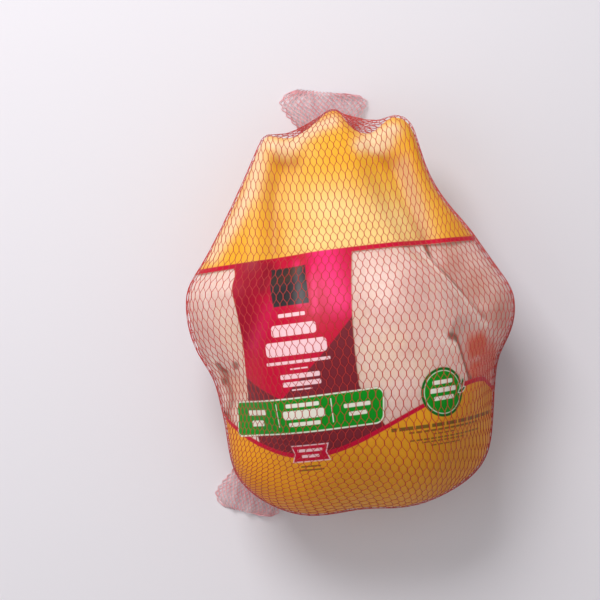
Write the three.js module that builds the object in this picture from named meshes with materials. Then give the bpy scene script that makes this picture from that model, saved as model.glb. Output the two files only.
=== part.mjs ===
// A whole raw chicken, sealed in a printed shrink bag that is drawn into a tube net.
// Millimetres, +Z up. The bird lies on its back: the breast is up, the legs point to +Y and
// the neck end to -Y. The origin is under the middle of the whole, on the surface it lies on.

import * as THREE from "three";

// Driving sizes of the wrapped bird, before it is centred.
const BREAST_HEIGHT = 128; // top of the breast above the surface it lies on
const KNEE_SPREAD = 142; // between the middles of the two knees
const HOCK_SPREAD = 80; // between the ends of the two drumsticks
const HOCK_REACH = 106; // how far the drumstick ends lie towards +Y
const SHOULDER_SPREAD = 122; // between the middles of the two folded wings
const FILM_BRIDGE = 24; // how widely the shrunk film rounds off the dips between limbs
const FLOOR_BRIDGE = 15; // how widely the flat underside rounds up into the sides
const DIP_BRIDGE = 8; // how widely the rims of the dips round off
const LIMB_TAPER = 0.72; // under 1, a limb thins sooner after its thick end

// The surface is sampled along rays from this point, which every part of the skin faces.
const HEART = new THREE.Vector3(0, 8, 40);
const RAY_LENGTH = 175;
const RAY_STEPS = 88;
const HALVINGS = 22;
const ROWS = 58; // from the leg end to the neck end
const COLUMNS = 96; // round the bird
const POLE_CROWDING = 0.42; // rows lie closer together by this share at both ends

// Lobes of the body: middle and half sizes. The bird leans and swells unevenly.
const LOBES = [
  { name: "torso", at: [-2.5, -30.5, 55], half: [73, 93.5, 67.5] },
  { name: "right breast", at: [24.5, -31, 75], half: [44, 73, BREAST_HEIGHT - 77] },
  { name: "left breast", at: [-28.5, -27.5, 74], half: [46, 75, BREAST_HEIGHT - 76.5] },
  { name: "abdomen", at: [0, 46, 49.5], half: [40.5, 60.5, 40.5] },
  { name: "tail", at: [-2, 105, 34], half: [12, 22.5, 20] },
  { name: "web between the legs", at: [0, 89.5, 44], half: [31, 21, 12] },
  { name: "right shoulder", at: [23, -89, 47.5], half: [34, 33, 38.5] },
  { name: "left shoulder", at: [-45, -90, 47.5], half: [35, 35, 38.5] },
  { name: "back", at: [-2, -16.5, 24], half: [66, 88, 40.5] },
];

// Limbs taper from one round end to another: middles and radii of the two ends.
const LIMBS = [
  {
    name: "right drumstick",
    from: [KNEE_SPREAD / 2 - 6, -5, 58],
    to: [HOCK_SPREAD / 2 - 3, HOCK_REACH, 55],
    radii: [28.5, 10.5],
  },
  {
    name: "left drumstick",
    from: [-KNEE_SPREAD / 2 - 2, 17, 58],
    to: [-HOCK_SPREAD / 2 + 2, HOCK_REACH, 53],
    radii: [33.5, 12.5],
  },
  {
    name: "right thigh",
    from: [KNEE_SPREAD / 2 - 9, -10, 50],
    to: [31, 33, 30],
    radii: [26.5, 27.5],
  },
  {
    name: "left thigh",
    from: [-KNEE_SPREAD / 2 - 4, -8, 50],
    to: [-31, 35, 30],
    radii: [28.5, 27.5],
  },
  {
    name: "right wing",
    from: [SHOULDER_SPREAD / 2 - 2, -56.5, 42],
    to: [SHOULDER_SPREAD / 2 - 12, -88, 55],
    radii: [16.5, 18.5],
  },
  {
    name: "left wing",
    from: [-SHOULDER_SPREAD / 2 - 12, -50, 42],
    to: [-SHOULDER_SPREAD / 2 - 9, -83, 55],
    radii: [19.5, 20],
  },
];

// The shrunk film dips between the limbs, as if a round bar lay there: middles and radii of
// the bar's two ends.
const DIPS = [
  { name: "right of the breast", from: [29, 94, 83], to: [49, 40, 104.5], radii: [16, 17] },
  { name: "left of the breast", from: [-34, 94, 84], to: [-49, 41, 105], radii: [16, 17] },
  { name: "right of the tail", from: [18, 119.5, 12], to: [18, 119.5, 90], radii: [9.5, 9.5] },
  { name: "left of the tail", from: [-32, 123.5, 12], to: [-32, 123.5, 90], radii: [11, 11] },
  { name: "right flank", from: [113, 96, 35], to: [113, 96, 75], radii: [62, 62] },
];

// The two ends of the net are bunched, and lie on the surface as flat pleated tails.
// root and tip are on the surface. Half widths and heights are at both ends.
const TAILS = [
  {
    name: "net_tail_leg_end",
    root: [-1, 103],
    tip: [-2, 144],
    halfWidths: [13, 33],
    heights: [17, 8],
    pleats: 4,
    slant: 4.5,
  },
  {
    name: "net_tail_neck_end",
    root: [-68, -88],
    tip: [-88, -125],
    halfWidths: [13, 25],
    heights: [16, 8],
    pleats: 3,
    slant: -2,
  },
];
const TAIL_ROWS = 18;
const TAIL_COLUMNS = 40;
const TAIL_ROUNDING = 5; // higher is a squarer outline
const PLEAT_DEPTH = 0.3; // of the tail's height
const TIP_WAVE = 1.6; // how far the pleats reach in and out at the tip
const TAIL_CLEARANCE = 0.6; // between a tail and the bag above it

const FILM = new THREE.MeshStandardMaterial({
  name: "printed_film",
  color: new THREE.Color().setRGB(0.93, 0.66, 0.24, THREE.SRGBColorSpace),
  roughness: 0.22,
  metalness: 0,
});
const NET = new THREE.MeshStandardMaterial({
  name: "net",
  color: new THREE.Color().setRGB(0.83, 0.27, 0.24, THREE.SRGBColorSpace),
  roughness: 0.45,
  metalness: 0,
});

// Smallest of two distances, rounded off where they are within width of each other.
function smoothSmallest(a, b, width) {
  const overlap = Math.max(width - Math.abs(a - b), 0) / width;
  return Math.min(a, b) - (overlap * overlap * width) / 4;
}

function smoothLargest(a, b, width) {
  return -smoothSmallest(-a, -b, width);
}

// Roughly how far a point is outside an ellipsoid.
function outsideLobe(point, lobe) {
  const [x, y, z] = lobe.at.map((middle, axis) => point.getComponent(axis) - middle);
  const [a, b, c] = lobe.half;
  const scaled = Math.hypot(x / a, y / b, z / c);
  const slope = Math.hypot(x / (a * a), y / (b * b), z / (c * c));
  return slope > 0 ? (scaled * (scaled - 1)) / slope : -Math.min(a, b, c);
}

// How far a point is outside a limb, or outside the bar that shapes a dip.
function outsideLimb(point, limb) {
  const from = new THREE.Vector3(...limb.from);
  const along = new THREE.Vector3(...limb.to).sub(from);
  const share = THREE.MathUtils.clamp(
    point.clone().sub(from).dot(along) / along.lengthSq(), 0, 1);
  const nearest = from.addScaledVector(along, share);
  const radius = THREE.MathUtils.lerp(...limb.radii, share ** LIMB_TAPER);
  return point.distanceTo(nearest) - radius;
}

// How far a point is outside the film: limbs and lobes bridged, dips between them, and flat
// where it lies.
function outsideFilm(point) {
  let nearest = Infinity;
  for (const lobe of LOBES) {
    nearest = smoothSmallest(nearest, outsideLobe(point, lobe), FILM_BRIDGE);
  }
  for (const limb of LIMBS) {
    nearest = smoothSmallest(nearest, outsideLimb(point, limb), FILM_BRIDGE);
  }
  for (const bar of DIPS) {
    nearest = smoothLargest(nearest, -outsideLimb(point, bar), DIP_BRIDGE);
  }
  return smoothLargest(nearest, -point.z, FLOOR_BRIDGE);
}

// The outermost point of the film on a ray from the heart.
function filmPoint(direction) {
  const at = (distance) => HEART.clone().addScaledVector(direction, distance);
  let outside = RAY_LENGTH;
  let inside = outside;
  const step = RAY_LENGTH / RAY_STEPS;
  while (outsideFilm(at(inside)) > 0) {
    outside = inside;
    inside -= step;
  }
  for (let n = 0; n < HALVINGS; n += 1) {
    const middle = (inside + outside) / 2;
    if (outsideFilm(at(middle)) > 0) {
      outside = middle;
    } else {
      inside = middle;
    }
  }
  const point = at(inside);
  const flat = 1e-3;
  point.z = point.z < flat ? 0 : point.z;
  return point;
}

// A closed skin of rows between two poles. pointAt(row, column) gives its points.
function closedSkin(rows, columns, firstPole, lastPole, pointAt) {
  const points = [firstPole];
  for (let row = 1; row < rows; row += 1) {
    for (let column = 0; column < columns; column += 1) {
      points.push(pointAt(row, column));
    }
  }
  points.push(lastPole);
  const last = points.length - 1;
  const index = (row, column) => 1 + (row - 1) * columns + (column % columns);
  const faces = [];
  for (let column = 0; column < columns; column += 1) {
    faces.push(0, index(1, column), index(1, column + 1));
    faces.push(last, index(rows - 1, column + 1), index(rows - 1, column));
  }
  for (let row = 1; row < rows - 1; row += 1) {
    for (let column = 0; column < columns; column += 1) {
      const corners = [
        index(row, column), index(row + 1, column),
        index(row + 1, column + 1), index(row, column + 1),
      ];
      faces.push(corners[0], corners[1], corners[2]);
      faces.push(corners[0], corners[2], corners[3]);
    }
  }
  const geometry = new THREE.BufferGeometry().setFromPoints(points);
  geometry.setIndex(faces);
  geometry.computeVertexNormals();
  return geometry;
}

// The bird in its bag. Rows run from the +Y pole to the -Y pole.
function baggedChicken() {
  const rowAngle = (row) => {
    const share = row / ROWS;
    const crowding = (POLE_CROWDING * Math.sin(2 * Math.PI * share)) / (2 * Math.PI);
    return Math.PI * (share - crowding);
  };
  const pointAt = (row, column) => {
    const polar = rowAngle(row);
    const round = (2 * Math.PI * column) / COLUMNS;
    const direction = new THREE.Vector3(
      Math.sin(polar) * Math.sin(round), Math.cos(polar), Math.sin(polar) * Math.cos(round));
    return filmPoint(direction);
  };
  const legPole = filmPoint(new THREE.Vector3(0, 1, 0));
  const neckPole = filmPoint(new THREE.Vector3(0, -1, 0));
  return closedSkin(ROWS, COLUMNS, legPole, neckPole, pointAt);
}

// A flat bunch of net on the surface, pleated along its length and kept under the bag.
function netTail({ root, tip, halfWidths, heights, pleats, slant }) {
  const start = new THREE.Vector2(...root);
  const end = new THREE.Vector2(...tip);
  const along = end.clone().sub(start).normalize();
  const across = new THREE.Vector2(along.y, -along.x);
  const rounding = (share) => Math.sqrt(Math.max(1 - Math.abs(2 * share - 1) ** TAIL_ROUNDING, 0));
  const pointAt = (row, column) => {
    const share = 0.5 - 0.5 * Math.cos((Math.PI * row) / TAIL_ROWS);
    const round = (2 * Math.PI * column) / TAIL_COLUMNS;
    const side = Math.cos(round);
    const up = Math.max(Math.sin(round), 0);
    const fold = Math.cos(pleats * Math.PI * side);
    const spread = THREE.MathUtils.smoothstep(share, 0, 1);
    const halfWidth = THREE.MathUtils.lerp(...halfWidths, spread) * rounding(share);
    const height = THREE.MathUtils.lerp(...heights, share) * rounding(share);
    const place = start.clone().lerp(end, share)
      .addScaledVector(across, side * halfWidth)
      .addScaledVector(along, share * (TIP_WAVE * fold * up - slant * side));
    const rise = height * Math.sqrt(up) * (1 - PLEAT_DEPTH * (0.5 - 0.5 * fold));
    const point = new THREE.Vector3(place.x, place.y, rise);
    while (point.z > 0 && outsideFilm(point) < TAIL_CLEARANCE) {
      point.z = Math.max(point.z - TAIL_CLEARANCE / 4, 0);
    }
    return point;
  };
  const firstPole = new THREE.Vector3(start.x, start.y, heights[0] / 8);
  const lastPole = new THREE.Vector3(end.x, end.y, heights[1] / 4);
  return closedSkin(TAIL_ROWS, TAIL_COLUMNS, firstPole, lastPole, pointAt);
}

const model = new THREE.Group();
const bird = new THREE.Mesh(baggedChicken(), FILM);
bird.name = "bagged_chicken";
model.add(bird);
for (const tail of TAILS) {
  const mesh = new THREE.Mesh(netTail(tail), NET);
  mesh.name = tail.name;
  model.add(mesh);
}

// The origin goes under the middle of the whole.
const extent = new THREE.Box3().setFromObject(model);
const middle = extent.getCenter(new THREE.Vector3());
for (const mesh of model.children) {
  mesh.geometry.translate(-middle.x, -middle.y, -extent.min.z);
}

export default model;
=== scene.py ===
"""A whole raw chicken in a printed shrink bag, closed in a red tube net. It lies on its back.

Metres, +Z up: the breast is up, the legs point to +Y and the neck end to -Y.
"""

import math

import bmesh
import bpy
import numpy as np
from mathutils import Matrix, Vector
from mathutils.bvhtree import BVHTree


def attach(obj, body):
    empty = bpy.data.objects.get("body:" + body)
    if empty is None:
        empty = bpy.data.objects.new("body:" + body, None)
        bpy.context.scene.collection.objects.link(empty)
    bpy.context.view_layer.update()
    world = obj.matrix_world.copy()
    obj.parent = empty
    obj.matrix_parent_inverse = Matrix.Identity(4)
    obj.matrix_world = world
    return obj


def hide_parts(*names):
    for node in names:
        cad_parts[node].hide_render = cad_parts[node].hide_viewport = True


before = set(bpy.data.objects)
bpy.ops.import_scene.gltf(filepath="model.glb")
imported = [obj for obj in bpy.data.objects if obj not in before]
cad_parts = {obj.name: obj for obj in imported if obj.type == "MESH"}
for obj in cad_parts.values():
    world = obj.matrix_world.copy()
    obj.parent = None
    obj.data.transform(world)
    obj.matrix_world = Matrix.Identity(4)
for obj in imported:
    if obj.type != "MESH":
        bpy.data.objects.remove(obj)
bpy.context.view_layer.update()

# The bird is sampled along rays from this point, round the Y axis.
HEART = np.array([0.0026, -0.00105, 0.040])
ROWS = 220  # from the leg end to the neck end
COLUMNS = 330  # round the bird, from the top towards +X

# How the layers lie inside the CAD solid.
FILM_INSET = 0.0010
FILM_FLOOR = 0.0011
SKIN_GAP = 0.0004
SKIN_FLOOR = 0.0022
NET_INSET = 0.0004

# The net: two strands for each cell round the girth, and a zigzag for each cell along it.
STRANDS = 216
CELLS_ALONG = 40
JOINT = 0.50  # share of its length along which a strand is joined to the ones beside it
SWAY = 0.45  # how far a strand sways to either side, as a share of the way to the next one
STRAND_RADIUS = 0.00023
CELL_WIDTH = 0.0041  # how wide the cells on the top stay where the girth narrows
MOST_WIDENED = 1.4  # how many times as wide as their share of the girth they are at most
NET_SECTORS = 4
NET_LEAN = 0.10  # how much of a turn the strands near the neck end are dragged to the right
LEAN_MIDDLE = 0.09  # how much of a turn to the right of the top they are dragged most
HALF_TURN = 180  # steps in which half the girth is measured
LEG_GATHER = np.array([0.001, 0.103, 0.010])
NECK_GATHER = np.array([-0.052, -0.098, 0.012])
# How far from the leg pole and from the neck pole the strands begin to bend towards the gather.
LEG_REACH = math.radians(85)
NECK_REACH = math.radians(62)
GATHER_HOLE = 0.018  # share of the way that is left open at each gather

# The flat pleated tails of the net, as the CAD solids lie.
TAILS = {
    "net_tail_leg_end": {
        "root": (0.0016, 0.09395), "tip": (0.0006, 0.13495),
        "half_widths": (0.013, 0.033), "slant": 0.0045, "pleats": 9,
    },
    "net_tail_neck_end": {
        "root": (-0.0654, -0.09705), "tip": (-0.0854, -0.13405),
        "half_widths": (0.013, 0.025), "slant": -0.002, "pleats": 7,
    },
}
TAIL_STRANDS = 32
TAIL_CELLS = 9
TAIL_STEPS = 6  # for each cell
TAIL_SWAY = 0.46  # how far a strand sways, as SWAY says it
TAIL_START = 0.04  # where the strands begin, as a share of the way from the root to the tip
TAIL_RUN = 0.93  # how much of that way they go
TAIL_SIDES = 0.95  # how much of the half width they fill
TAIL_STRAND_RADIUS = 0.00026

# The camera looks straight down. The pack leans by this much in the picture.
LEAN = math.radians(7)
CAMERA_HEIGHT = 1.15
OUTLINE_HEIGHT = 0.055  # the height at which the bird is widest
PICTURE_WIDTH = 0.375  # what the picture spans at that height
CAMERA_OVER = (-0.0306, 0.00015)
SENSOR = 0.036


def unit(vectors):
    return vectors / np.maximum(np.linalg.norm(vectors, axis=-1, keepdims=True), 1e-12)


def ripples(points, length, seed, waves=28):
    """Smooth unevenness between about -1 and 1, at places a length apart."""
    rng = np.random.default_rng(seed)
    ways = unit(rng.normal(size=(waves, 3)))
    scales = 2 * math.pi / (length * rng.uniform(0.7, 1.5, waves))
    starts = rng.uniform(0, 2 * math.pi, waves)
    total = np.zeros(points.shape[:-1])
    for way, scale, start in zip(ways, scales, starts):
        total += np.sin(points @ way * scale + start)
    return total / math.sqrt(waves)


def smoothstep(values, low, high):
    share = np.clip((values - low) / (high - low), 0, 1)
    return share * share * (3 - 2 * share)


# The bag's surface


def smooth_solid(node):
    """A search tree of the node's solid with its facets smoothed away."""
    mesh = bmesh.new()
    mesh.from_mesh(node.data)
    bmesh.ops.remove_doubles(mesh, verts=mesh.verts, dist=1e-6)
    bmesh.ops.join_triangles(
        mesh, faces=mesh.faces, angle_face_threshold=3.0, angle_shape_threshold=3.0)
    plain = bpy.data.meshes.new("smooth_solid")
    mesh.to_mesh(plain)
    mesh.free()
    holder = bpy.data.objects.new("smooth_solid", plain)
    bpy.context.scene.collection.objects.link(holder)
    smoother = holder.modifiers.new("smoother", "SUBSURF")
    smoother.levels = 2
    bpy.context.view_layer.update()
    graph = bpy.context.evaluated_depsgraph_get()
    tree = BVHTree.FromObject(holder, graph)
    bpy.data.objects.remove(holder)
    bpy.data.meshes.remove(plain)
    return tree


def polar(theta, phi):
    """Directions at theta from +Y and at phi round from the top."""
    return np.stack(
        [np.sin(theta) * np.sin(phi), np.cos(theta) + 0 * phi, np.sin(theta) * np.cos(phi)],
        axis=-1)


MISSED_REACH = 0.05  # what is taken where a ray slips through between two facets


def cast(tree, directions):
    """How far the surface lies from the heart in each direction."""
    heart = Vector(HEART)
    flat = directions.reshape(-1, 3)
    reach = np.empty(len(flat))
    for n, direction in enumerate(flat):
        reach[n] = tree.ray_cast(heart, Vector(direction))[3] or MISSED_REACH
    return reach.reshape(directions.shape[:-1])


def grid_directions():
    theta = math.pi * np.arange(ROWS + 1) / ROWS
    phi = 2 * math.pi * np.arange(COLUMNS) / COLUMNS
    return polar(theta[:, None], phi[None, :])


def look_up(grid, directions):
    """The value of a polar grid in other directions."""
    theta = np.arccos(np.clip(directions[..., 1], -1, 1)) * ROWS / math.pi
    phi = np.arctan2(directions[..., 0], directions[..., 2]) % (2 * math.pi) * COLUMNS / (2 * math.pi)
    row = np.clip(theta.astype(int), 0, ROWS - 1)
    column = phi.astype(int) % COLUMNS
    down = theta - row
    over = phi - np.floor(phi)
    after = (column + 1) % COLUMNS
    upper = grid[row, column] * (1 - over) + grid[row, after] * over
    lower = grid[row + 1, column] * (1 - over) + grid[row + 1, after] * over
    return upper * (1 - down) + lower * down


def look_up_vectors(grid, directions):
    values = np.stack([look_up(grid[..., axis], directions) for axis in range(3)], axis=-1)
    return unit(values)


def grid_normals(points):
    """Outward normals of a polar grid of points."""
    down = np.gradient(points, axis=0)
    over = np.roll(points, -1, axis=1) - np.roll(points, 1, axis=1)
    normals = np.cross(down, over)
    lengths = np.linalg.norm(normals, axis=-1, keepdims=True)
    outward = unit(points - HEART)
    normals = np.where(lengths > 1e-12, normals / np.maximum(lengths, 1e-12), outward)
    facing = np.sign(np.sum(normals * outward, axis=-1, keepdims=True))
    normals *= np.where(facing == 0, 1, facing)
    for end in (0, -1):
        normals[end] = outward[end]
    return normals


def moved_in(points, depths, floor):
    """Points moved inwards along the normals of their surface, and kept over the floor."""
    depths = np.broadcast_to(depths, points.shape[:-1])
    moved = points - grid_normals(points) * depths[..., None]
    moved[..., 2] = np.maximum(moved[..., 2], floor)
    return moved


def relaxed(reach, directions, rounds, round_pull=0.8):
    """The surface of a stretched net that spans the hollows of the surface under it."""
    spread = reach.copy()
    for _ in range(rounds):
        points = HEART + spread[..., None] * directions
        beside = (np.roll(points, 1, axis=1) + np.roll(points, -1, axis=1)) / 2
        before = np.concatenate([points[:1], points[:-1]])
        after = np.concatenate([points[1:], points[-1:]])
        pulled = round_pull * beside + (1 - round_pull) * (before + after) / 2
        spread = np.maximum(reach, np.sum((pulled - HEART) * directions, axis=-1))
    return spread


def coarse_then_fine(reach, directions):
    """The relaxed surface, first on every fifth line of the grid and then on them all."""
    step = 5
    rough = relaxed(reach[::step, ::step], directions[::step, ::step], rounds=260)
    rows = np.arange(0, ROWS + 1, step)
    columns = np.arange(0, COLUMNS + 1, step)
    wrapped = np.concatenate([rough, rough[:, :1]], axis=1)
    wide = np.stack([np.interp(np.arange(COLUMNS), columns, line) for line in wrapped])
    full = np.stack([np.interp(np.arange(ROWS + 1), rows, line) for line in wide.T], axis=1)
    return relaxed(np.maximum(full, reach), directions, rounds=24, round_pull=1.0)


# Meshes


def add_object(name, points, faces):
    mesh = bpy.data.meshes.new(name)
    mesh.vertices.add(len(points))
    mesh.vertices.foreach_set("co", np.asarray(points, np.float32).ravel())
    sizes = np.array([len(face) for face in faces])
    corners = np.concatenate([np.asarray(face) for face in faces])
    mesh.loops.add(len(corners))
    mesh.loops.foreach_set("vertex_index", corners.astype(np.int32))
    mesh.polygons.add(len(sizes))
    starts = np.concatenate([[0], np.cumsum(sizes)[:-1]])
    mesh.polygons.foreach_set("loop_start", starts.astype(np.int32))
    mesh.update(calc_edges=True)
    mesh.validate()
    mesh.shade_smooth()
    piece = bpy.data.objects.new(name, mesh)
    bpy.context.scene.collection.objects.link(piece)
    return piece


def closed_grid(name, points):
    """A closed mesh of a polar grid, whose first and last rows are its poles."""
    inner = points[1:-1].reshape(-1, 3)
    first, last = points[0].mean(axis=0), points[-1].mean(axis=0)
    vertices = np.concatenate([inner, [first], [last]])
    rows = len(points) - 2
    columns = points.shape[1]
    index = np.arange(rows * columns).reshape(rows, columns)
    right = np.roll(index, -1, axis=1)
    quads = np.stack([index[:-1], index[1:], right[1:], right[:-1]], axis=-1).reshape(-1, 4)
    first_at, last_at = rows * columns, rows * columns + 1
    cap = np.stack([np.full(columns, first_at), index[0], right[0]], axis=-1)
    end = np.stack([np.full(columns, last_at), right[-1], index[-1]], axis=-1)
    return add_object(name, vertices, [*quads, *cap, *end])


def tubes(name, paths, normals, radius, flatness=0.85):
    """Closed three-sided tubes along paths of equal length, joined in one mesh."""
    count, steps = paths.shape[:2]
    sides = 3
    ways = unit(np.gradient(paths, axis=1))
    across = unit(np.cross(ways, normals))
    up = np.cross(across, ways)
    angles = math.pi / 2 + 2 * math.pi * np.arange(sides) / sides
    ring = (across[:, :, None] * np.cos(angles)[:, None]
            + up[:, :, None] * flatness * np.sin(angles)[:, None])
    points = paths[:, :, None] + radius * ring
    index = np.arange(count * steps * sides).reshape(count, steps, sides)
    turned = np.roll(index, -1, axis=2)
    walls = np.stack(
        [index[:, :-1], index[:, 1:], turned[:, 1:], turned[:, :-1]], axis=-1).reshape(-1, 4)
    starts = index[:, 0, ::-1]
    ends = index[:, -1]
    return add_object(name, points.reshape(-1, 3), [*walls, *starts, *ends])


def set_attribute(piece, name, values):
    layer = piece.data.attributes.new(name, "FLOAT", "POINT")
    layer.data.foreach_set("value", np.asarray(values, np.float32).ravel())


def grid_values(values):
    """A polar grid's values in the order of closed_grid's vertices."""
    return np.concatenate([values[1:-1].ravel(), [values[0].mean()], [values[-1].mean()]])


# What lies lower than this isn't seen from the top, and what lies nearer the middle plane than
# this isn't seen from the side.
TOP_FACES_OVER = 0.035
SIDE_FACES_BEYOND = 0.03
HIDDEN_WEIGHT = 2  # how much farther from every line each metre beyond those counts


def beside_line(points, line, seen_from="top"):
    """How far points lie from a line, on which side of it, and how far along it.

    The line is x, y seen from the top, and y, z seen from the left or right. What faces away
    from there counts as far.
    """
    if seen_from == "top":
        flat = points[..., :2]
        away = np.maximum(TOP_FACES_OVER - points[..., 2], 0)
    elif seen_from == "left":
        flat = points[..., 1:]
        away = np.maximum(points[..., 0] + SIDE_FACES_BEYOND, 0)
    else:
        flat = points[..., 1:]
        away = np.maximum(SIDE_FACES_BEYOND - points[..., 0], 0)
    nearest = np.full(flat.shape[:-1], np.inf)
    side = np.zeros(flat.shape[:-1])
    along = np.zeros(flat.shape[:-1])
    parts = len(line) - 1
    for part in range(parts):
        start, end = np.array(line[part]), np.array(line[part + 1])
        way = end - start
        share = np.clip((flat - start) @ way / (way @ way), 0, 1)
        offset = flat - start - share[..., None] * way
        distance = np.linalg.norm(offset, axis=-1)
        closer = distance < nearest
        side = np.where(closer, np.sign(way[0] * offset[..., 1] - way[1] * offset[..., 0]), side)
        along = np.where(closer, (part + share) / parts, along)
        nearest = np.minimum(nearest, distance)
    return nearest + HIDDEN_WEIGHT * away, side, along


# The printed film

# Colours of the print.
YELLOW = (238, 184, 52)
TOP_HIGHLIGHT_YELLOW = (246, 220, 146)
LOW_YELLOW = (232, 160, 32)
VALLEY_SHADE_YELLOW = (206, 146, 52)
HOLLOW_SHADE_YELLOW = (196, 132, 20)
RIDGE_HIGHLIGHT_YELLOW = (244, 218, 176)
DULL_HIGHLIGHT_YELLOW = (208, 162, 118)
DEEP_YELLOW = (236, 174, 38)
CLEAR_FILM = (250, 214, 178)
CRIMSON = (198, 0, 52)
SHINY_CRIMSON = (250, 46, 126)
SHADED_CRIMSON = (140, 0, 34)
MAROON = (120, 34, 46)
GREEN = (0, 146, 26)
DARK_GREEN = (0, 104, 28)
CREAM = (238, 238, 222)
PALE_PINK = (246, 206, 212)
CHARCOAL = (46, 42, 44)
GREY_SHEEN = (132, 124, 126)
INK = (92, 76, 30)

# Where the film dips deepest between the legs and the breast, as x, y seen from above.
VALLEYS = [
    [(0.0275, 0.092), (0.0345, 0.086), (0.0388, 0.073), (0.0428, 0.056), (0.0470, 0.0435),
     (0.0528, 0.029)],
    [(-0.0290, 0.090), (-0.0335, 0.086), (-0.0385, 0.075), (-0.0415, 0.066), (-0.0432, 0.054),
     (-0.0444, 0.042), (-0.0455, 0.031)],
]
VALLEY_WIDTH = 0.0055
VALLEY_DEPTH = 0.0030
SMALL_DIP = 0.0003
# Where highlights and shade are painted on the yellow film: a colour, how strong it is, and how
# wide along which lines, seen from above. Each look is painted over the ones before it.
FILM_LOOKS = {
    # A broad highlight is painted pale over the top of the breast.
    "pale": (TOP_HIGHLIGHT_YELLOW, 0.85, 0.0180, [
        [(-0.014, 0.053), (0.006, 0.047), (0.034, 0.040)],
        [(-0.018, 0.036), (0.036, 0.034)],
    ]),
    # A dull tan highlight is painted beside the right valley.
    "dull_highlight": (DULL_HIGHLIGHT_YELLOW, 0.75, 0.0052, [
        [(0.0428, 0.0772), (0.0461, 0.0645), (0.0491, 0.0488), (0.0511, 0.0300)],
    ]),
    # Shade is painted darker into the left valley.
    "valley_shade": (VALLEY_SHADE_YELLOW, 0.6, 0.0052, [
        [(-0.0395, 0.0781), (-0.0428, 0.0662), (-0.0424, 0.0539), (-0.0427, 0.0416),
         (-0.0438, 0.0325)],
    ]),
    # It dips into hollows at the heads of both valleys, and dark shade is painted there.
    "hollow_shade": (HOLLOW_SHADE_YELLOW, 0.9, 0.0056, [
        [(-0.0337, 0.0890), (-0.0250, 0.0865)],
        [(0.0310, 0.0860), (0.0360, 0.0800)],
    ]),
    # Highlights are painted pale along the ridges over the bones of the legs.
    "ridge_highlight": (RIDGE_HIGHLIGHT_YELLOW, 0.9, 0.0050, [
        [(-0.0381, 0.0994), (-0.0310, 0.0967), (-0.0236, 0.0970), (-0.0150, 0.1021),
         (-0.0052, 0.1071), (0.0031, 0.1091)],
        [(-0.0414, 0.1023), (-0.0449, 0.0941), (-0.0488, 0.0823), (-0.0533, 0.0705),
         (-0.0601, 0.0603), (-0.0674, 0.0507), (-0.0746, 0.0424), (-0.0817, 0.0341)],
        [(0.0187, 0.0912), (0.0241, 0.0949), (0.0305, 0.0971), (0.0400, 0.0985)],
        [(0.0250, 0.0905), (0.0360, 0.0930)],
    ]),
}
# Folds of the crimson panel that catch the light, and two that turn away from it: a line, how
# wide it is and how strong.
SHINES = [
    ([(-0.0125, 0.026), (-0.0105, 0.010), (-0.0075, -0.002)], 0.0095, 1.0),
    ([(-0.0205, 0.020), (-0.0225, -0.007)], 0.0022, 0.8),
    ([(-0.0299, 0.022), (-0.0307, -0.001)], 0.0030, 0.7),
    ([(-0.0496, -0.003), (-0.0615, -0.024)], 0.0050, 0.22),
]
SHADED_FOLDS = [
    ([(-0.0560, 0.022), (-0.0640, 0.004), (-0.0680, -0.0150)], 0.0130, 0.8),
    ([(-0.0483, 0.022), (-0.0530, 0.010)], 0.0060, 1.0),
]


def near_any(points, lines, width):
    """From 1 on any of the lines, seen from above, to 0 well beyond the width."""
    return np.max([np.exp(-(beside_line(points, line)[0] / width) ** 2) for line in lines], axis=0)


def strongest(points, folds):
    """The strongest of several folds at each place."""
    values = [strength * near_any(points, [line], width) for line, width, strength in folds]
    return np.max(values, axis=0)


def end_pleats():
    """How far each row lies from the bag's ends, and the fine pleats that run out from them."""
    from_end = np.sin(math.pi * np.arange(ROWS + 1) / ROWS)[:, None]
    around = 2 * math.pi * np.arange(COLUMNS) / COLUMNS
    waves = np.sin(31 * around)[None, :] + 0.6 * np.sin(47 * around + 1.3)[None, :]
    return from_end, np.exp(-(from_end / 0.28) ** 2) * waves


def film_points(reach, directions):
    """The film's surface, and how much of each look every place on it has."""
    points = moved_in(HEART + reach[..., None] * directions, FILM_INSET, FILM_FLOOR)
    looks = {name: near_any(points, lines, width)
             for name, (_, _, width, lines) in FILM_LOOKS.items()}
    looks["shine"] = strongest(points, SHINES)
    looks["shade"] = strongest(points, SHADED_FOLDS)
    from_end, pleats = end_pleats()
    dips = VALLEY_DEPTH * near_any(points, VALLEYS, VALLEY_WIDTH)
    dips = dips + SMALL_DIP * (1 + pleats) * from_end ** 0.5
    dips = dips + SMALL_DIP * (1 + ripples(points, 0.03, 12))
    points = points - unit(points - HEART) * dips[..., None]
    points[..., 2] = np.maximum(points[..., 2], FILM_FLOOR)
    return points, looks


PRINT_ORIGIN = -0.00045  # where along the bird the places of the print are measured from
FIRST_PLANE, LAST_PLANE, PLANES = -0.118, 0.092, 64  # where the girth is measured
ANGLES = 240
MISSED_RADIUS = 0.03  # what is taken where a plane's ray hits nothing


def section_turns(tree):
    """For planes across the bird: the share of the girth passed at each angle, and the girth."""
    planes = np.linspace(FIRST_PLANE, LAST_PLANE, PLANES)
    angles = 2 * math.pi * np.arange(ANGLES + 1) / ANGLES
    shares, girths = [], []
    for y in planes:
        centre = Vector((HEART[0], y, HEART[2]))
        line = []
        for angle in angles:
            way = Vector((math.sin(angle), 0, math.cos(angle)))
            reach = tree.ray_cast(centre, way)[3] or MISSED_RADIUS
            line.append((reach * math.sin(angle), reach * math.cos(angle)))
        line = np.array(line)
        passed = np.concatenate([[0], np.cumsum(np.linalg.norm(np.diff(line, axis=0), axis=1))])
        shares.append(passed / passed[-1])
        girths.append(passed[-1])
    return planes, angles, np.array(shares), np.array(girths)


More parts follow.
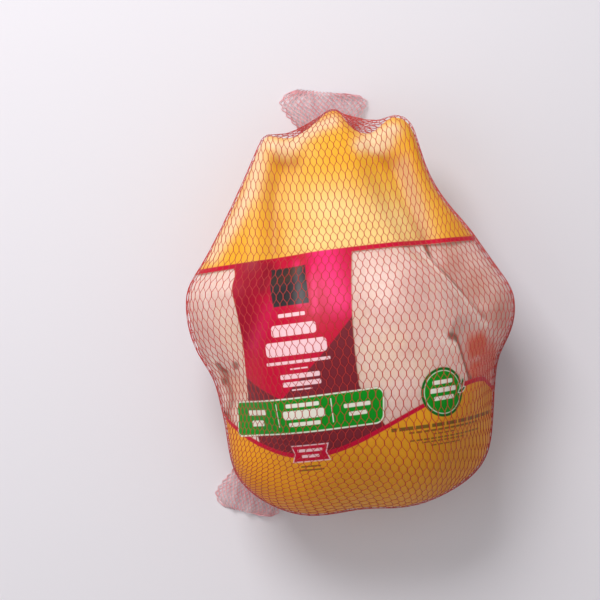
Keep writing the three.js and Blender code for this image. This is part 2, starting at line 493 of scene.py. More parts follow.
def make_film(points, looks, tree):
    film = closed_grid("printed_film", points)
    lay_print(film, tree)
    for name, values in looks.items():
        set_attribute(film, name, grid_values(values))
    return film


def lay_print(film, tree):
    """The UV map: the share of the girth passed from the top, and the place along the bird."""
    planes, angles, shares, girths = section_turns(tree)
    mesh = film.data
    places = np.empty(len(mesh.vertices) * 3, np.float32)
    mesh.vertices.foreach_get("co", places)
    places = places.reshape(-1, 3).astype(float)
    angle = np.arctan2(places[:, 0] - HEART[0], places[:, 2] - HEART[2]) % (2 * math.pi)
    plane = np.clip((places[:, 1] - planes[0]) / (planes[1] - planes[0]), 0, len(planes) - 1.001)
    step = angle / (angles[1] - angles[0])
    row, column = plane.astype(int), np.minimum(step.astype(int), len(angles) - 2)
    down, over = plane - row, step - column
    turn = ((shares[row, column] * (1 - over) + shares[row, column + 1] * over) * (1 - down)
            + (shares[row + 1, column] * (1 - over) + shares[row + 1, column + 1] * over) * down)
    turn = np.where(turn > 0.5, turn - 1, turn)
    girth = np.interp(places[:, 1], planes, girths)
    corners = np.empty(len(mesh.loops), np.int32)
    mesh.loops.foreach_get("vertex_index", corners)
    starts = np.empty(len(mesh.polygons), np.int32)
    mesh.polygons.foreach_get("loop_start", starts)
    face_of = np.repeat(np.arange(len(starts)), np.diff(np.append(starts, len(corners))))
    turns = turn[corners]
    first = turns[starts][face_of]
    turns = turns - np.round(turns - first)
    layer = mesh.uv_layers.new(name="print")
    values = np.stack([turns, places[corners, 1] - PRINT_ORIGIN], axis=-1)
    layer.data.foreach_set("uv", values.astype(np.float32).ravel())
    set_attribute(film, "girth", girth)


# The bird's skin

# Folds of the skin under the clear film. Each falls off steeply on one side and softly on the side
# that "soft" gives. Shade is painted along each, darker for some way from its start.
CREASES = [
    {"seen_from": "top", "depth": 0.0060, "soft": 1, "soft_width": 0.014, "start_shade": 0.9,
     "line": [(0.0502, 0.0235), (0.0592, 0.0092), (0.0652, 0.0008), (0.0716, -0.0082), (0.0778, -0.0180),
              (0.0805, -0.0240)]},
    {"seen_from": "top", "depth": 0.0060, "soft": 1, "soft_width": 0.010, "start_shade": 1.8,
     "line": [(0.0557, -0.0320), (0.0624, -0.0353), (0.0644, -0.0458), (0.0661, -0.0552),
              (0.0668, -0.0640)]},
    {"seen_from": "right", "depth": 0.005, "soft": 1, "soft_width": 0.012, "start_shade": 0.6,
     "line": [(0.026, 0.062), (0.004, 0.052), (-0.020, 0.046), (-0.044, 0.030)]},
    {"seen_from": "left", "depth": 0.005, "soft": 1, "soft_width": 0.012, "start_shade": 0.6,
     "line": [(0.024, 0.060), (0.002, 0.050), (-0.022, 0.044), (-0.046, 0.030)]},
    {"seen_from": "left", "depth": 0.0035, "soft": -1, "soft_width": 0.009, "start_shade": 0.25,
     "line": [(-0.034, 0.070), (-0.046, 0.062), (-0.060, 0.058), (-0.070, 0.046)]},
]
STEEP_WIDTH = 0.0022  # how far a fold reaches on its steep side
# How wide the shade painted along a fold's line is.
CREASE_WIDTH = 0.0019
# How wide the darker shade painted near a fold's start is.
START_SHADE_WIDTH = 0.0024
LIP_FROM, LIP_WIDTH = 0.004, 0.0028  # where a highlight is painted on the lip of skin on the steep side of a fold
# Patches that look different: from where they are seen, their middle and how far they reach.
PATCHES = {
    # The meat shows red or orange through thin skin.
    "flesh": [
        ("top", (0.0715, -0.0415), 0.0085),
        ("top", (0.0730, -0.0550), 0.0095),
        ("top", (0.0800, -0.0490), 0.0095),
        ("left", (-0.052, 0.030), 0.010),
        ("right", (-0.055, 0.04), 0.009),
    ],
    # The skin looks tan.
    "tans": [
        ("top", (-0.0750, -0.0470), 0.0080),
        ("top", (0.0660, -0.0680), 0.0080),
    ],
    # Shade is painted on the skin, darker and greyer.
    "skin_shade": [
        ("top", (0.0640, 0.012), 0.012),
        ("top", (0.0760, -0.004), 0.013),
        ("top", (0.0900, -0.019), 0.013),
        ("top", (0.0945, -0.027), 0.011),
    ],
    # There are small dark spots.
    "dark_spots_and_fold_shade": [
        ("top", (-0.0742, -0.0345), 0.0026),
        ("top", (-0.0835, -0.0440), 0.0022),
    ],
}


def spot(points, seen_from, middle, reach):
    """From 1 in the middle of an uneven patch to 0 well beyond its reach."""
    near = beside_line(points, [middle, (middle[0], middle[1] - 0.001)], seen_from)[0]
    uneven = 1 + 0.22 * ripples(points, 0.012, 5)
    return np.exp(-(near / (reach * uneven)) ** 2)


def make_skin(film):
    """The skin lies close under the film, and dips away from it in its folds."""
    dips = SMALL_DIP * np.maximum(1 + ripples(film, 0.03, 3), 0)
    crease_shade = np.zeros(film.shape[:-1])
    start_shade = np.zeros(film.shape[:-1])
    lip_highlights = np.zeros(film.shape[:-1])
    for crease in CREASES:
        away, side, along = beside_line(film, crease["line"], crease["seen_from"])
        soft = side == crease["soft"]
        fold = np.exp(-(away / np.where(soft, crease["soft_width"], STEEP_WIDTH)) ** 2)
        ends = smoothstep(along, -0.05, 0.15) * (1 - 0.6 * smoothstep(along, 0.7, 1.0))
        dips = np.maximum(dips, crease["depth"] * fold * ends)
        # Shade is painted along the fold's line, weaker towards its end.
        line = np.exp(-(away / CREASE_WIDTH) ** 2)
        crease_shade = np.maximum(crease_shade, line * (1 - 0.3 * smoothstep(along, 0.3, 1.0)))
        # Darker shade is painted for some way from the fold's start.
        start_shade = np.maximum(start_shade, np.exp(-(away / START_SHADE_WIDTH) ** 2) * (
            1 - smoothstep(along, 0.5 * crease["start_shade"], crease["start_shade"])))
        # A highlight is painted on the lip of the fold's steep side.
        lip_highlights = np.maximum(lip_highlights, np.where(soft, 0, np.exp(-((away - LIP_FROM) / LIP_WIDTH) ** 2)))
    normals = grid_normals(film)
    outward = unit(film - HEART)
    slant = np.maximum(np.sum(normals * outward, axis=-1), 0.35)
    points = film - outward * ((SKIN_GAP + dips) / slant)[..., None]
    points[..., 2] = np.maximum(points[..., 2], SKIN_FLOOR)
    skin = closed_grid("raw_chicken", points)
    looks = {name: np.max([spot(points, *patch) for patch in patches], axis=0)
             for name, patches in PATCHES.items()}
    looks["dark_spots_and_fold_shade"] = np.maximum(looks["dark_spots_and_fold_shade"], start_shade)
    looks["crease_shade"] = crease_shade
    looks["lip_highlights"] = lip_highlights
    for name, values in looks.items():
        set_attribute(skin, name, grid_values(values))
    return skin


# The net


def turned_towards(directions, pole, gather, reach_angle):
    """Directions round a pole, turned so that the pole goes to the gather."""
    axis = np.cross(pole, unit(gather - HEART))
    full = math.asin(min(np.linalg.norm(axis), 1))
    axis = unit(axis)
    from_pole = np.arccos(np.clip(directions @ pole, -1, 1))
    angle = (full * (1 - smoothstep(from_pole, 0, reach_angle)))[..., None]
    along = (directions @ axis)[..., None] * axis
    return (directions * np.cos(angle) + np.cross(axis, directions) * np.sin(angle)
            + along * (1 - np.cos(angle)))


def net_ways(theta, phi):
    ways = polar(theta, phi)
    ways = turned_towards(ways, np.array([0, 1.0, 0]), LEG_GATHER, LEG_REACH)
    return turned_towards(ways, np.array([0, -1.0, 0]), NECK_GATHER, NECK_REACH)


def cell_lengths(share):
    """How long the cells are along the way, which is less over the legs and at the neck end."""
    over_legs = 1 - smoothstep(share, 0.28, 0.46)
    at_neck = smoothstep(share, 0.62, 0.8)
    return 1 - 0.2 * over_legs - 0.45 * at_neck


def net_rows(net_reach, directions):
    """Where the strands bend, from the leg end to the neck end, and to which side they sway."""
    top = HEART + net_reach[:, 0, None] * directions[:, 0]
    passed = np.concatenate([[0], np.cumsum(np.linalg.norm(np.diff(top, axis=0), axis=1))])
    passed /= passed[-1]
    share = np.linspace(GATHER_HOLE, 1 - GATHER_HOLE, 400)
    count = np.concatenate([[0], np.cumsum(1 / cell_lengths(share)[1:])])
    count /= count[-1]
    joints = np.arange(2 * CELLS_ALONG)
    ends = (joints[:, None] + 0.5 + JOINT * np.array([-0.5, 0.5])).ravel() / (2 * CELLS_ALONG)
    share = np.interp(ends, count, share)
    theta = np.interp(share, passed, math.pi * np.arange(ROWS + 1) / ROWS)
    return share, theta, np.repeat(np.where(joints % 2 == 0, 1, -1), 2)


def net_girths(net_reach, theta):
    """Angles round from the top, the share of the girth passed at each, and the girth."""
    around = np.linspace(-math.pi, math.pi, 2 * HALF_TURN + 1)
    ways = net_ways(theta[:, None], around[None, :])
    rings = HEART + look_up(net_reach, ways)[..., None] * ways
    passed = np.cumsum(np.linalg.norm(np.diff(rings, axis=1), axis=-1), axis=1)
    passed = np.concatenate([np.zeros((len(rings), 1)), passed], axis=1)
    girths = passed[:, -1]
    turns = passed - passed[:, HALF_TURN:HALF_TURN + 1]
    turns = np.where(turns < 0, turns / (-2 * turns[:, :1]), turns / (2 * turns[:, -1:]))
    return around, turns, girths


def strand_places(share, side, girths):
    """Where each strand bends round the girth, from -0.5 to 0.5, with 0 at the top."""
    strand = np.arange(STRANDS)
    sway = np.where(strand % 2 == 0, 1, -1)[:, None] * side[None, :]
    place = (strand[:, None] + 0.5 + SWAY * sway) / STRANDS - 0.5
    lean = smoothstep(share, 0.62, 0.86) * (1 - smoothstep(share, 0.89, 0.99))
    beside = (place - LEAN_MIDDLE) / np.where(place < LEAN_MIDDLE, 0.13, 0.20)
    place = place + NET_LEAN * lean[None, :] * np.exp(-beside ** 2)
    wide = np.clip(CELL_WIDTH * STRANDS / 2 / girths, 1, MOST_WIDENED)
    wide = 1 + (wide - 1) * smoothstep(girths, 0.12, 0.26)
    return wide * place + 4 * (1 - wide) * place ** 3


def make_net(net_reach, directions):
    share, theta, side = net_rows(net_reach, directions)
    around, turns, girths = net_girths(net_reach, theta)
    place = strand_places(share, side, girths)
    angles = np.concatenate([around - 2 * math.pi, around[1:], around[1:] + 2 * math.pi])
    phi = np.empty_like(place)
    for row, line in enumerate(turns):
        known = np.concatenate([line - 1, line[1:], line[1:] + 1])
        phi[:, row] = np.interp(place[:, row], known, angles)
    ways = net_ways(np.broadcast_to(theta, phi.shape), phi)
    normals_grid = grid_normals(HEART + net_reach[..., None] * directions)
    normals = look_up_vectors(normals_grid, ways)
    paths = HEART + look_up(net_reach, ways)[..., None] * ways - normals * NET_INSET
    paths[..., 2] = np.maximum(paths[..., 2], STRAND_RADIUS)
    pieces = []
    each = STRANDS // NET_SECTORS
    for sector in range(NET_SECTORS):
        chosen = slice(sector * each, (sector + 1) * each)
        pieces.append(tubes(
            f"net_sector_{sector + 1}", paths[chosen], normals[chosen], STRAND_RADIUS))
    return pieces


def heights_over(name, place):
    """How high the top of the node's solid lies over each place."""
    graph = bpy.context.evaluated_depsgraph_get()
    tree = BVHTree.FromObject(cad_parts[name], graph)
    heights = np.zeros(place.shape[:2])
    for index in np.ndindex(heights.shape):
        x, y = place[index]
        hit = tree.ray_cast(Vector((x, y, 0.1)), Vector((0, 0, -1)))[0]
        heights[index] = hit.z if hit else 0.001
    return heights


def make_tail(name):
    """Bunched net: strands run out over the tail, fold at its tip and run back under."""
    shape = TAILS[name]
    start, end = np.array(shape["root"]), np.array(shape["tip"])
    along = unit(end - start)
    across = np.array([along[1], -along[0]])
    travel = np.linspace(0, 2, 2 * TAIL_CELLS * TAIL_STEPS + 1)
    share = TAIL_START + TAIL_RUN * np.where(travel < 1, travel, 2 - travel)
    strand = np.arange(TAIL_STRANDS)
    sway = np.where(strand % 2 == 0, 1, -1)[:, None] * np.cos(
        2 * math.pi * TAIL_CELLS * travel)[None, :]
    # The net that runs back under lies half a cell further over.
    under = smoothstep(travel, 0.97, 1.03)[None, :]
    filled = (strand[:, None] + 0.5 * under + TAIL_SWAY * sway) / TAIL_STRANDS
    side = TAIL_SIDES * (2 * filled - 1)
    rounding = np.sqrt(np.maximum(1 - np.abs(2 * share - 1) ** 5, 0))[None, :]
    spread = smoothstep(share, 0, 1)[None, :]
    low, high = shape["half_widths"]
    half_width = (low + (high - low) * spread) * rounding
    place = (start + share[:, None] * (end - start))[None] + (
        (side * half_width)[..., None] * across
        - (share[None, :] * shape["slant"] * side)[..., None] * along)
    heights = heights_over(name, place)
    pleat = np.cos(shape["pleats"] * math.pi * side + 1.2 * ripples(
        np.concatenate([place, heights[..., None]], axis=-1), 0.03, 31))
    level = 0.97 - 0.24 * (0.5 + 0.5 * pleat) - under * (0.5 + 0.05 * pleat)
    lift = np.maximum(heights * level, 2 * TAIL_STRAND_RADIUS)
    paths = np.concatenate([place, lift[..., None]], axis=-1)
    normals = np.zeros_like(paths)
    normals[..., 2] = 1
    piece = tubes(name.replace("tail", "bunch"), paths, normals, TAIL_STRAND_RADIUS)
    set_attribute(piece, "way", np.repeat(np.broadcast_to(share, place.shape[:2]).ravel(), 3))
    pale = np.broadcast_to(under, place.shape[:2])
    set_attribute(piece, "pale", np.repeat(pale.ravel(), 3))
    return piece


# Materials


class Number:
    """A number that shader nodes work out. It takes the usual signs."""

    def __init__(self, tree, socket):
        self.tree = tree
        self.socket = socket

    def math(self, operation, *others):
        node = self.tree.nodes.new("ShaderNodeMath")
        node.operation = operation
        for slot, value in enumerate((self, *others)):
            plug(self.tree, value, node.inputs[slot])
        return Number(self.tree, node.outputs[0])

    def __add__(self, other):
        return self.math("ADD", other)

    def __sub__(self, other):
        return self.math("SUBTRACT", other)

    def __mul__(self, other):
        return self.math("MULTIPLY", other)

    def __neg__(self):
        return self.math("MULTIPLY", -1.0)

    def __abs__(self):
        return self.math("ABSOLUTE")

    def at_least(self, other):
        return self.math("MAXIMUM", other)

    def at_most(self, other):
        return self.math("MINIMUM", other)

    def cosine(self):
        return self.math("COSINE")

    def rest(self):
        """What is left of 1."""
        return self * -1.0 + 1.0

    def between(self, low, high):
        """From 0 to 1 as the number goes from low to high, which may fall."""
        node = self.tree.nodes.new("ShaderNodeMapRange")
        node.interpolation_type = "SMOOTHSTEP"
        plug(self.tree, self, node.inputs["Value"])
        node.inputs["From Min"].default_value = low
        node.inputs["From Max"].default_value = high
        return Number(self.tree, node.outputs["Result"])


def plug(tree, value, target):
    """Give a node's input a number, a socket or a colour in 0 to 255."""
    if isinstance(value, Number):
        tree.links.new(value.socket, target)
    elif isinstance(value, bpy.types.NodeSocket):
        tree.links.new(value, target)
    elif isinstance(value, tuple):
        target.default_value = linear(*value)
    else:
        target.default_value = value


def linear(red, green, blue):
    """A colour given in 0 to 255, as screens show it, in the linear values that shaders take."""
    def one(value):
        share = value / 255
        return share / 12.92 if share <= 0.04045 else ((share + 0.055) / 1.055) ** 2.4
    return (one(red), one(green), one(blue), 1.0)


def new_material(name):
    material = bpy.data.materials.new(name)
    material.use_nodes = True
    tree = material.node_tree
    return material, tree, tree.nodes["Principled BSDF"]


def attribute(tree, name):
    node = tree.nodes.new("ShaderNodeAttribute")
    node.attribute_name = name
    return Number(tree, node.outputs["Fac"])


def object_place(tree):
    return tree.nodes.new("ShaderNodeTexCoord").outputs["Object"]


def noise(tree, vector, scale, detail, roughness=0.55, distortion=0.0):
    node = tree.nodes.new("ShaderNodeTexNoise")
    tree.links.new(vector, node.inputs["Vector"])
    node.inputs["Scale"].default_value = scale
    node.inputs["Detail"].default_value = detail
    node.inputs["Roughness"].default_value = roughness
    node.inputs["Distortion"].default_value = distortion
    return Number(tree, node.outputs["Fac"])


def cells(tree, vector, scale):
    node = tree.nodes.new("ShaderNodeTexVoronoi")
    tree.links.new(vector, node.inputs["Vector"])
    node.inputs["Scale"].default_value = scale
    return Number(tree, node.outputs["Distance"])


def stretched(tree, vector, scale):
    node = tree.nodes.new("ShaderNodeVectorMath")
    node.operation = "MULTIPLY"
    tree.links.new(vector, node.inputs[0])
    node.inputs[1].default_value = scale
    return node.outputs["Vector"]


def paint(tree, under, over, mask):
    """One colour laid over another, as much as mask says."""
    node = tree.nodes.new("ShaderNodeMix")
    node.data_type = "RGBA"
    plug(tree, mask, node.inputs["Factor"])
    plug(tree, under, node.inputs["A"])
    plug(tree, over, node.inputs["B"])
    return node.outputs["Result"]


def bump(tree, shader, height, distance, strength=1.0):
    node = tree.nodes.new("ShaderNodeBump")
    node.inputs["Distance"].default_value = distance
    node.inputs["Strength"].default_value = strength
    plug(tree, height, node.inputs["Height"])
    tree.links.new(node.outputs["Normal"], shader.inputs["Normal"])


# Places of the print are metres across from the middle of the top and along from PRINT_ORIGIN.
EDGE = 0.00035  # how soft a printed edge is
LINE_HALF = 0.00145
# The crimson lines wave round the bag: where each lies, and how far it swings.
UPPER_LINE, UPPER_SWING = 0.0262, 0.00075
LOWER_LINE, LOWER_SWING = -0.076, 0.0163
LOWER_SHIFT = 0.09  # how much of a turn the lower line's wave is shifted to the left
# Straight edges of the panel's sides and corners: a place that each passes, and its slope.
PANEL_LEFT_LOW = (-0.0549, -0.0963, -0.526)
PANEL_RIGHT_LOW = (-0.053, -0.0051, -0.502)
CORNER_RIGHT = (-0.0057, -0.014, 0.8826)
CORNER_LEFT = (-0.0943, -0.0398, -0.4237)
PRINT_SLOPE = 0.0135  # how steeply the printed rows rise to the right
SQUARE = {"middle": (-0.0409, 0.0101), "half": (0.0122, 0.0113), "corner": 0.0006}
BAND = {"middle": (-0.04975, -0.06625), "half": (0.05825, 0.01085), "corner": 0.0052}
BAND_DIVIDERS = (-0.0598, -0.0229)
SEAL = (0.0458, -0.0634)
SEAL_RADIUS = 0.0147
TAG = (-0.0404, -0.0900)
TAG_HALF = (0.0131, 0.0054)
TAG_NOTCH = 0.0020
BAND_RIM, SEAL_RIM, THIN_RIM = 0.0004, 0.0007, 0.0006
SEAL_RING = 0.87  # of the seal's radius
# Leaves beside the seal: middle and angle.
LEAVES = [((0.0603, -0.0637), 0.35), ((0.0612, -0.0600), 1.25)]
LEAF_LENGTH, LEAF_WIDTH = 0.0042, 0.0017
# Plain bars: middle, half width and half height.
PANEL_BARS = [
    ((-0.0410, -0.0068), (0.0090, 0.0011)),
    ((-0.0413, -0.0155), (0.0150, 0.0034)),
    ((-0.0416, -0.0262), (0.0205, 0.0042)),
    ((-0.0415, -0.0345), (0.0215, 0.0009)),
    ((-0.0398, -0.0385), (0.0060, 0.0004)),
    ((-0.0404, -0.0428), (0.0130, 0.0014)),
    ((-0.0397, -0.0474), (0.0125, 0.0014)),
    ((-0.0396, -0.0509), (0.0066, 0.0004)),
]
BAND_BARS = [
    ((-0.0825, -0.0628), (0.0120, 0.0016)),
    ((-0.0825, -0.0694), (0.0075, 0.0018)),
    ((-0.0412, -0.0602), (0.0110, 0.0012)),
    ((-0.0412, -0.0658), (0.0140, 0.0026)),
    ((-0.0412, -0.0716), (0.0105, 0.0012)),
    ((-0.0076, -0.0640), (0.0080, 0.0012)),
    ((-0.0076, -0.0690), (0.0055, 0.0012)),
]
SEAL_BARS = [
    ((0.0458, -0.0578), (0.0070, 0.0012)),
    ((0.0458, -0.0625), (0.0092, 0.0014)),
    ((0.0458, -0.0673), (0.0070, 0.0012)),
]
TAG_BARS = [
    ((-0.0404, -0.0881), (0.0086, 0.0009)),
    ((-0.0404, -0.0918), (0.0060, 0.0009)),
]
SMALL_PRINT = [
    ((0.0505, -0.0852), (0.0290, 0.0006)),
    ((0.0448, -0.0876), (0.0080, 0.0004)),
    ((0.0515, -0.0902), (0.0298, 0.0005)),
    ((0.0460, -0.0921), (0.0170, 0.0004)),
    ((0.0462, -0.0945), (0.0114, 0.0004)),
]
HEADING = ((0.0600, -0.0823), (0.0490, 0.0011))
HEADING_DASH, SMALL_DASH = 0.0100, 0.0046
TINY_BARS = [
    ((-0.0410, -0.0983), (0.0068, 0.0005)),
    ((-0.0410, -0.1006), (0.0088, 0.0005)),
]


def box_distance(across, along, middle, half, corner=0.0):
    """How far outside a box with round corners, negative inside."""
    over = abs(across - middle[0]) - (half[0] - corner)
    up = abs(along - middle[1]) - (half[1] - corner)
    over_out, up_out = over.at_least(0.0), up.at_least(0.0)
    outside = (over_out * over_out + up_out * up_out).math("SQRT")
    return outside + over.at_least(up).at_most(0.0) - corner


def inside(distance, edge=EDGE):
    return distance.between(edge, -edge)


def bars(across, along, table):
    """The union of plain bars with round ends."""
    nearest = None
    for middle, half in table:
        distance = box_distance(across, along, middle, half, min(half) * 0.6)
        nearest = distance if nearest is None else nearest.at_most(distance)
    return inside(nearest, EDGE * 0.7)


class Print:
    """What is printed on the clear film: a colour, and how far the film is still clear."""

    def __init__(self, tree, ground):
        self.tree = tree
        self.colour = ground
        self.clear = None

    def lay(self, colour, mask):
        self.colour = paint(self.tree, self.colour, colour, mask)
        if self.clear is not None:
            self.clear = self.clear * mask.rest()


def leaf(across, along, middle, angle):
    """How far outside a pointed leaf, negative inside."""
    over, up = across - middle[0], along - middle[1]
    out = over * math.cos(angle) + up * math.sin(angle)
    side = up * math.cos(angle) - over * math.sin(angle)
    return abs(side) + out * out * (LEAF_WIDTH / LEAF_LENGTH ** 2) - LEAF_WIDTH


def straight(number, at, value, slope):
    """A straight line that has the value at a place, and goes on from there with the slope."""
    return (number - at) * slope + value


def dashes(across, length, low, high):
    """Where a broken line is printed, and where it has its gaps."""
    return (across * (2 * math.pi / length)).cosine().between(low, high)


def print_fields(film, across, along, near, crimson):
    """The crimson lines, the panel with its maroon corners and the clear windows."""
    upper = along - (near * (4 * math.pi)).cosine() * UPPER_SWING - UPPER_LINE
    lower = along + ((near + LOWER_SHIFT) * (4 * math.pi)).cosine() * LOWER_SWING - LOWER_LINE
    film.lay(LOW_YELLOW, lower.between(EDGE, -EDGE))
    middle = inside(upper.at_least(-lower))

    # Each side of the panel is a shallow bow, and a straight line near the neck end.
    left = (along * 0.06 - along * along * 2.7 - 0.0817).at_least(straight(along, *PANEL_LEFT_LOW))
    low_part = along + 0.042
    right = (low_part * low_part * 1.39 - 0.0052).at_least(straight(along, *PANEL_RIGHT_LOW))
    panel = middle * inside((left - across).at_least(across - right))
    film.lay(crimson, panel)
    bow = (across - CORNER_RIGHT[0]) * (across + 0.0517) * 3.0
    right_corner = straight(across, *CORNER_RIGHT) + bow
    left_corner = straight(across, *CORNER_LEFT)
    corners = (right_corner.at_least(left_corner) - along).between(-EDGE, EDGE)
    film.lay(MAROON, panel * corners)

    windows = middle * panel.rest()
    film.lay(CLEAR_FILM, windows)
    film.clear = windows
    film.lay(crimson, inside(abs(upper).at_most(abs(lower)) - LINE_HALF))


def print_details(film, across, along, front, charcoal):
    """The square, the bars, the band, the seal, the tag and the tiny lines, on the front alone."""
    level = along - across * PRINT_SLOPE
    # The square's upper left is stretched to the left, over the dip beside the leg.
    high = (along + 0.002).at_least(0.0)
    drawn = across + high * high * 12.0 * across.between(-0.029, -0.055)
    square = inside(box_distance(drawn, level, **SQUARE)) * front
    film.lay(charcoal, square)
    film.lay(PALE_PINK, bars(across, level, PANEL_BARS) * front)

    # The ends of the band lean outwards at the top.
    leaning = across + (level + 0.066) * (across * -3.32 - 0.085)
    band = box_distance(leaning, level, **BAND)
    film.lay(GREEN, inside(band) * front)
    film.lay(CREAM, inside(abs(band + BAND_RIM) - BAND_RIM) * front)
    for at in BAND_DIVIDERS:
        divider = box_distance(across, level, (at, -0.0655), (0.0003, 0.0072), 0.0001)
        film.lay(CREAM, inside(divider, EDGE * 0.7) * front)
    film.lay(CREAM, bars(across, level, BAND_BARS) * front)

    right, up = across - SEAL[0], along - SEAL[1]
    from_middle = (right * right + up * up).math("SQRT")
    film.lay(GREEN, inside(from_middle - SEAL_RADIUS) * front)
    film.lay(DARK_GREEN, inside(abs(from_middle - SEAL_RADIUS + SEAL_RIM) - SEAL_RIM) * front)
    film.lay(CREAM, inside(abs(from_middle - SEAL_RADIUS * SEAL_RING) - 0.0002) * front)
    film.lay(CREAM, bars(across, level, SEAL_BARS) * front)
    for middle, angle in LEAVES:
        shape = leaf(across, along, middle, angle)
        film.lay(CREAM, inside(shape) * front)
        film.lay(DARK_GREEN, inside(shape + THIN_RIM) * front)

    over, high = abs(across - TAG[0]), abs(level - TAG[1])
    ends = over + (high * (-TAG_NOTCH / TAG_HALF[1])) + (TAG_NOTCH - TAG_HALF[0])
    tag = ends.at_least(high - TAG_HALF[1])
    film.lay(PALE_PINK, inside(tag) * front)
    film.lay(CRIMSON, inside(tag + THIN_RIM) * front)
    film.lay(PALE_PINK, bars(across, level, TAG_BARS) * front)
    film.lay(INK, bars(across, level, TINY_BARS) * front * 0.8)

    long = dashes(across, HEADING_DASH, -0.95, -0.85)
    heading = box_distance(across, along, *HEADING, 0.0004)
    film.lay(INK, inside(heading) * long * front * 0.85)
    short = dashes(across, SMALL_DASH, -0.9, -0.7)
    film.lay(INK, bars(across, along, SMALL_PRINT) * short * front * 0.75)


def film_material():
    material, tree, shader = new_material("printed_film")
    uv = tree.nodes.new("ShaderNodeUVMap")
    uv.uv_map = "print"
    split = tree.nodes.new("ShaderNodeSeparateXYZ")
    tree.links.new(uv.outputs["UV"], split.inputs[0])
    turn, along = Number(tree, split.outputs["X"]), Number(tree, split.outputs["Y"])
    near = turn - (turn * 2.0).math("ROUND") * 0.5
    across = near * attribute(tree, "girth")
    front = (turn * (2 * math.pi)).cosine().between(-0.02, 0.02)
    place = object_place(tree)
    patchy = noise(tree, place, 22, 2)

    ground = paint(tree, DEEP_YELLOW, YELLOW, patchy.between(0.38, 0.68))
    # The painted highlights and shade of FILM_LOOKS, over the yellow ground.
    for name, (colour, strength, _, _) in FILM_LOOKS.items():
        ground = paint(tree, ground, colour, attribute(tree, name) * strength)
    shine, shade = attribute(tree, "shine"), attribute(tree, "shade")
    crimson = paint(tree, CRIMSON, SHADED_CRIMSON, shade)
    crimson = paint(tree, crimson, SHINY_CRIMSON, shine * 0.85)
    charcoal = paint(tree, CHARCOAL, GREY_SHEEN, shine * 0.5)
    film = Print(tree, ground)
    print_fields(film, across, along, near, crimson)
    print_details(film, across, along, front, charcoal)
    tree.links.new(film.colour, shader.inputs["Base Color"])
    plug(tree, film.clear * -0.88 + 1.0, shader.inputs["Alpha"])
    shader.inputs["Roughness"].default_value = 0.42
    shader.inputs["Specular IOR Level"].default_value = 0.22
    wrinkles = noise(tree, stretched(tree, place, (1.0, 0.45, 1.0)), 70, 4, 0.6, 0.5)
    bump(tree, shader, wrinkles, 0.0006, 0.5)
    return material


# What is painted on the skin in this order: the look, its colour and how strongly. Apart from the
# tan, these are painted shade, and painted highlights on the lips of the folds.
SKIN_LOOKS = [
    ("skin_shade", (198, 144, 130), 0.8),
    ("tans", (240, 178, 128), 0.6),
    ("lip_highlights", (250, 240, 232), 0.7),
    ("crease_shade", (150, 84, 70), 0.88),
]


def skin_material():
    material, tree, shader = new_material("raw_skin")
    place = object_place(tree)
    broad = noise(tree, place, 16, 2)
    fine = noise(tree, place, 60, 4)
    pores = cells(tree, place, 300)
    yellowish = noise(tree, place, 27, 2).between(0.52, 0.66)
    colour = paint(tree, (236, 210, 202), (216, 178, 172), broad.between(0.40, 0.62))
    colour = paint(tree, colour, (236, 216, 188), yellowish * 0.45)
    colour = paint(tree, colour, (244, 232, 228), fine.between(0.5, 0.75) * 0.5)
    for name, over, strength in SKIN_LOOKS:
        colour = paint(tree, colour, over, attribute(tree, name) * strength)
    colour = paint(tree, colour, (218, 74, 0), attribute(tree, "flesh").between(0.0, 0.75) * 0.95)
    # Small dark spots, and the darker shade painted near the folds' starts.
    colour = paint(tree, colour, (124, 58, 42), attribute(tree, "dark_spots_and_fold_shade").between(0.25, 0.85) * 0.9)
    tree.links.new(colour, shader.inputs["Base Color"])
    shader.inputs["Roughness"].default_value = 0.4
    shader.inputs["Coat Weight"].default_value = 0.25
    shader.inputs["Coat Roughness"].default_value = 0.30
    shader.inputs["Subsurface Weight"].default_value = 0.2
    shader.inputs["Subsurface Radius"].default_value = (0.006, 0.003, 0.0015)
    shader.inputs["Subsurface Scale"].default_value = 1.0
    relief = pores.between(0.0, 0.6) * 0.35 + fine
    bump(tree, shader, relief, 0.0009, 0.6)
    return material


def net_material():
    material, tree, shader = new_material("net")
    shade = noise(tree, object_place(tree), 300, 2)
    colour = paint(tree, (196, 50, 48), (214, 64, 56), shade)
    tree.links.new(colour, shader.inputs["Base Color"])
    shader.inputs["Roughness"].default_value = 0.4
    shader.inputs["Alpha"].default_value = 0.78
    return material


def tail_material():
    material, tree, shader = new_material("bunched_net")
    shade = noise(tree, object_place(tree), 120, 2).between(0.35, 0.65)
    pink = paint(tree, (246, 164, 172), (255, 208, 212), shade)
    pale = paint(tree, (255, 214, 218), (255, 238, 240), shade)
    colour = paint(tree, pink, pale, attribute(tree, "pale"))
    colour = paint(tree, (216, 50, 62), colour, attribute(tree, "way").between(0.34, 0.48))
    tree.links.new(colour, shader.inputs["Base Color"])
    shader.inputs["Roughness"].default_value = 0.4
    return material


# Stage


def make_stage():
    mesh = bpy.data.meshes.new("floor")
    size = 4.0
    corners = [(-size, -size, 0), (size, -size, 0), (size, size, 0), (-size, size, 0)]
    mesh.from_pydata(corners, [], [(0, 1, 2, 3)])
    floor = bpy.data.objects.new("floor", mesh)
    bpy.context.scene.collection.objects.link(floor)
    material, _, shader = new_material("floor")
    shader.inputs["Base Color"].default_value = linear(232, 228, 234)
    shader.inputs["Roughness"].default_value = 0.85
    mesh.materials.append(material)


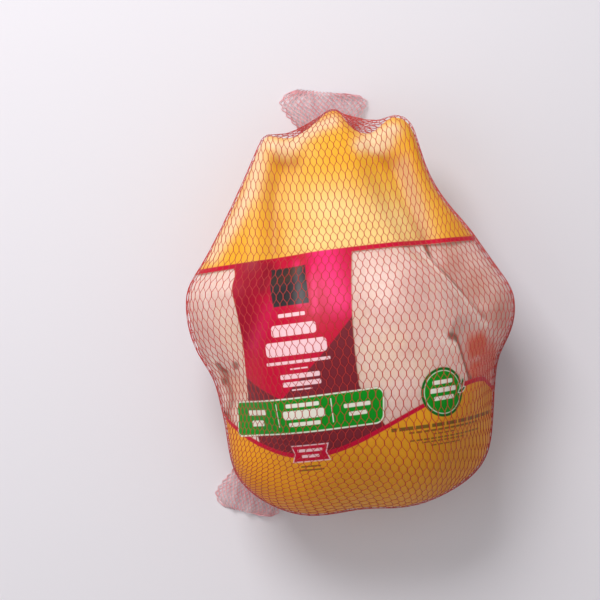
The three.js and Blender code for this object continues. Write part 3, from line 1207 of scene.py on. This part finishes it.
def add_light(name, place, target, size, power):
    light = bpy.data.lights.new(name, "AREA")
    light.shape = "RECTANGLE"
    light.size, light.size_y = size
    light.energy = power
    lamp = bpy.data.objects.new(name, light)
    lamp.location = place
    lamp.rotation_euler = (Vector(target) - Vector(place)).to_track_quat("-Z", "Y").to_euler()
    bpy.context.scene.collection.objects.link(lamp)


def make_lights():
    add_light("key", (-0.30, 0.84, 1.0), (0, 0, 0.05), (0.7, 0.5), 12.0)
    add_light("fill", (-0.9, -0.1, 0.9), (0, 0, 0.05), (0.9, 0.9), 2)
    world = bpy.data.worlds.new("studio")
    bpy.context.scene.world = world
    world.use_nodes = True
    background = world.node_tree.nodes["Background"]
    background.inputs["Color"].default_value = (1, 1, 1, 1)
    background.inputs["Strength"].default_value = 0.41
    bpy.context.scene.view_settings.view_transform = "Standard"


def make_camera():
    camera = bpy.data.cameras.new("camera")
    camera.sensor_width = SENSOR * 1000
    camera.lens = SENSOR * 1000 * (CAMERA_HEIGHT - OUTLINE_HEIGHT) / PICTURE_WIDTH
    holder = bpy.data.objects.new("camera", camera)
    holder.location = (*CAMERA_OVER, CAMERA_HEIGHT)
    holder.rotation_euler = (0, 0, -LEAN)
    bpy.context.scene.collection.objects.link(holder)
    bpy.context.scene.camera = holder


def dress(piece, material, slot, *nodes):
    piece.data.materials.append(material)
    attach(piece, "root")
    if nodes:
        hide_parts(*nodes)


def main():
    make_camera()
    make_stage()
    make_lights()
    tree = smooth_solid(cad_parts["bagged_chicken"])
    directions = grid_directions()
    reach = cast(tree, directions)
    net_reach = coarse_then_fine(reach, directions)
    points, looks = film_points(reach, directions)
    film = make_film(points, looks, tree)
    dress(make_skin(points), skin_material(), "printed_film", "bagged_chicken")
    dress(film, film_material(), "printed_film", "bagged_chicken")
    red = net_material()
    for sector in make_net(net_reach, directions):
        # The strands are so thin that their shadows on the film don't show in the photograph.
        sector.visible_shadow = False
        dress(sector, red, "net", "bagged_chicken")
    pink = tail_material()
    for name in TAILS:
        dress(make_tail(name), pink, "net", name)


main()
